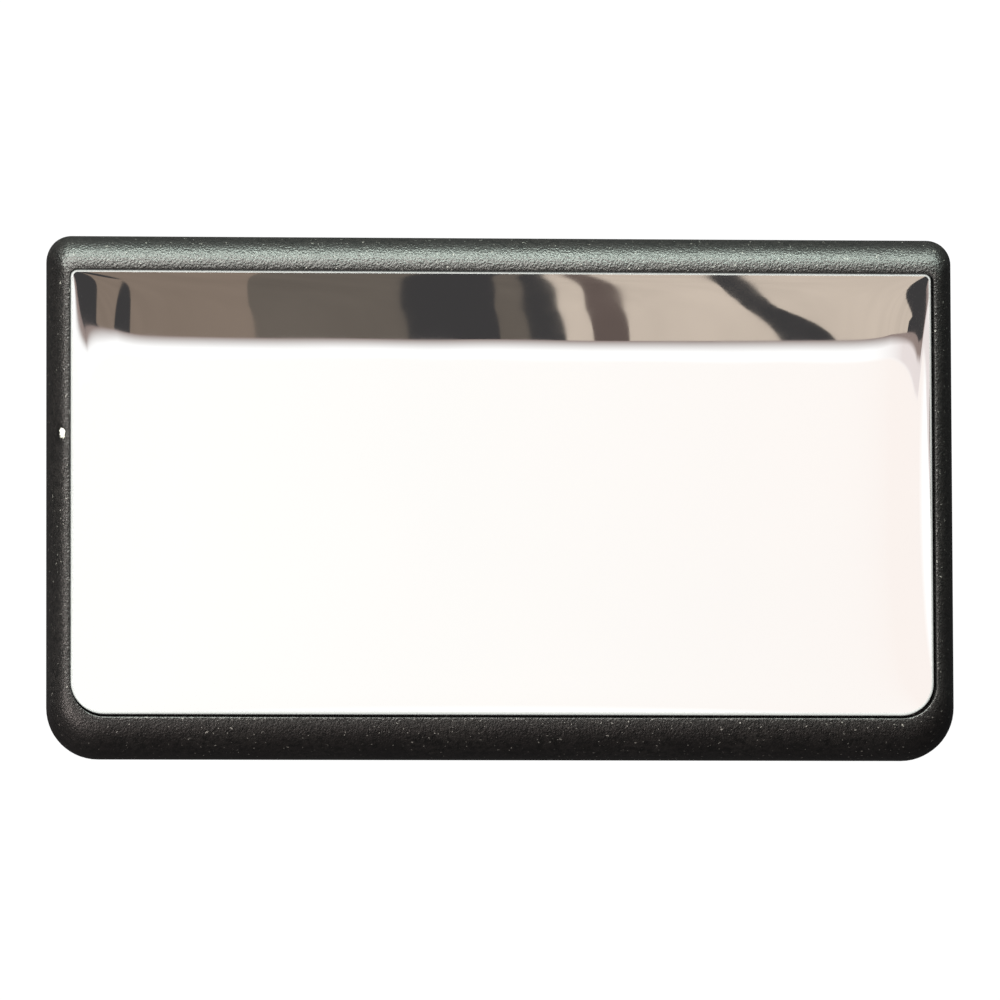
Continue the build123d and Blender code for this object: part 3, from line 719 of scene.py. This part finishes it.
def table_top(x):
    """Height of the table card's upper side at x."""
    top = TABLE_EDGE + TABLE_BLUR
    for start, end, fall in TABLE_DROPS:
        top -= fall * min(max((x - start) / (end - start), 0.0), 1.0)
    return top


def build_set():
    """The table and the room behind it."""
    knots = sorted(x for start, end, _ in TABLE_DROPS for x in (start, end))
    corners = [(TABLE_LEFT, TABLE_FOOT), (TABLE_RIGHT, TABLE_FOOT)]
    corners.extend((x, table_top(x)) for x in (TABLE_RIGHT, *knots[::-1], TABLE_LEFT))
    table = card("table", corners, TABLE_DEPTH, table_glow())
    build_room()
    return table


def build_world():
    """White to the camera, and a dim room to everything else."""
    world = bpy.data.worlds.new("studio")
    bpy.context.scene.world = world
    world.use_nodes = True
    tree = world.node_tree
    tree.nodes.clear()
    seen = tree.nodes.new("ShaderNodeBackground")
    seen.inputs["Color"].default_value = (1, 1, 1, 1)
    seen.inputs["Strength"].default_value = 1.05
    room = tree.nodes.new("ShaderNodeBackground")
    room.inputs["Color"].default_value = (*SLATE, 1)
    room.inputs["Strength"].default_value = 1.0
    path = tree.nodes.new("ShaderNodeLightPath")
    mix = tree.nodes.new("ShaderNodeMixShader")
    out = tree.nodes.new("ShaderNodeOutputWorld")
    tree.links.new(path.outputs["Is Camera Ray"], mix.inputs[0])
    tree.links.new(room.outputs[0], mix.inputs[1])
    tree.links.new(seen.outputs[0], mix.inputs[2])
    tree.links.new(mix.outputs[0], out.inputs["Surface"])


def area_light(name, place, target, width, height, power, colour=(1, 1, 1), glossy=True):
    """Soft rectangular light that points at a target."""
    data = bpy.data.lights.new(name, "AREA")
    data.shape = "RECTANGLE"
    data.size = width
    data.size_y = height
    data.energy = power
    data.color = colour
    light = bpy.data.objects.new(name, data)
    light.location = place
    light.rotation_mode = "QUATERNION"
    light.rotation_quaternion = (Vector(target) - Vector(place)).to_track_quat("-Z", "Y")
    light.visible_glossy = glossy
    bpy.context.scene.collection.objects.link(light)
    return light


def not_on(light, piece):
    """Keep a light off one piece."""
    group = bpy.data.collections.new(light.name + "_link")
    group.objects.link(piece)
    group.collection_objects[0].light_linking.link_state = "EXCLUDE"
    light.light_linking.receiver_collection = group


def build_floor():
    """Pale floor, well below the object."""
    half = FLOOR_HALF
    floor_z = CAD_LOW.z - FLOOR_DROP
    corners = [(-half, -half, floor_z), (half, -half, floor_z), (half, half, floor_z), (-half, half, floor_z)]
    floor = mesh_object("floor", corners, [(0, 1, 2, 3)], smooth=False)
    shader = Shader("floor")
    tone = shader.mix(shader.noise(3.0), (0.86, 0.86, 0.855, 1), (0.89, 0.89, 0.885, 1))
    shader.link(tone, "Base Color")
    shader.link(tone, "Emission Color")
    shader.set(Roughness=0.8, Emission_Strength=0.55)
    floor.data.materials.append(shader.material)
    floor.visible_diffuse = False
    floor.visible_glossy = False


def build_stage(frame_piece, mirror):
    """Floor, lights and the set that the mirror reflects."""
    centre = Vector((0, (FRAME_LOW.y + FRAME_HIGH.y) / 2, 0))
    build_world()
    build_floor()
    not_on(build_set(), frame_piece)
    overhead = area_light("overhead", (0.0, -0.53, 1.05), centre, 1.8, 0.18, 44.0, (0.86, 1.0, 0.90))
    above = area_light("room_above", (-0.5, -1.20, 0.95), centre, 1.6, 0.6, 50.0, (1.0, 0.96, 0.90))
    below = area_light("table_below", (-1.2, -1.60, -0.60), centre, 1.4, 0.6, 46.0, (1.0, 0.88, 0.83))
    for light in (overhead, above, below):
        not_on(light, mirror)
    area_light("front_fill", (-0.8, -2.4, -0.3), centre, 1.2, 1.2, 60.0, (1.0, 0.95, 0.92), glossy=False)
    not_on(area_light("back_fill", (0.7, 1.3, 1.2), centre, 1.2, 1.2, 45.0), frame_piece)
    not_on(area_light("back_soft", (-0.9, 1.8, 0.2), centre, 1.4, 1.4, 90.0), frame_piece)


def build_camera():
    """Long lens, a little below the mirror's middle and a little to its left."""
    data = bpy.data.cameras.new("camera")
    camera = bpy.data.objects.new("camera", data)
    bpy.context.scene.collection.objects.link(camera)
    bpy.context.scene.camera = camera
    azimuth = math.radians(CAMERA_AZIMUTH)
    elevation = math.radians(CAMERA_ELEVATION)
    target = Vector((CAMERA_TARGET[0], (FRAME_LOW.y + FRAME_HIGH.y) / 2, CAMERA_TARGET[1]))
    back = Vector(
        (
            math.sin(azimuth) * math.cos(elevation),
            -math.cos(azimuth) * math.cos(elevation),
            math.sin(elevation),
        )
    )
    camera.location = target + back * CAMERA_DISTANCE
    camera.rotation_mode = "QUATERNION"
    level = (-back).to_track_quat("-Z", "Y")
    camera.rotation_quaternion = level @ Quaternion((0, 0, 1), math.radians(CAMERA_ROLL))
    data.sensor_width = SENSOR_WIDTH
    data.lens = SENSOR_WIDTH * CAMERA_DISTANCE / VIEW_WIDTH
    data.clip_end = CLIP_END


moulding = build_frame()
# Frame material, with the painted glint and painted shade on the nick.
moulding.data.materials.append(black_moulding("frame_grain", nick_glint=NICK_GLINT_PLACE))
mirror_sheet = build_lens()
dress_cad_nodes()
build_stage(moulding, mirror_sheet)
build_camera()
bpy.context.scene.view_settings.view_transform = "Standard"
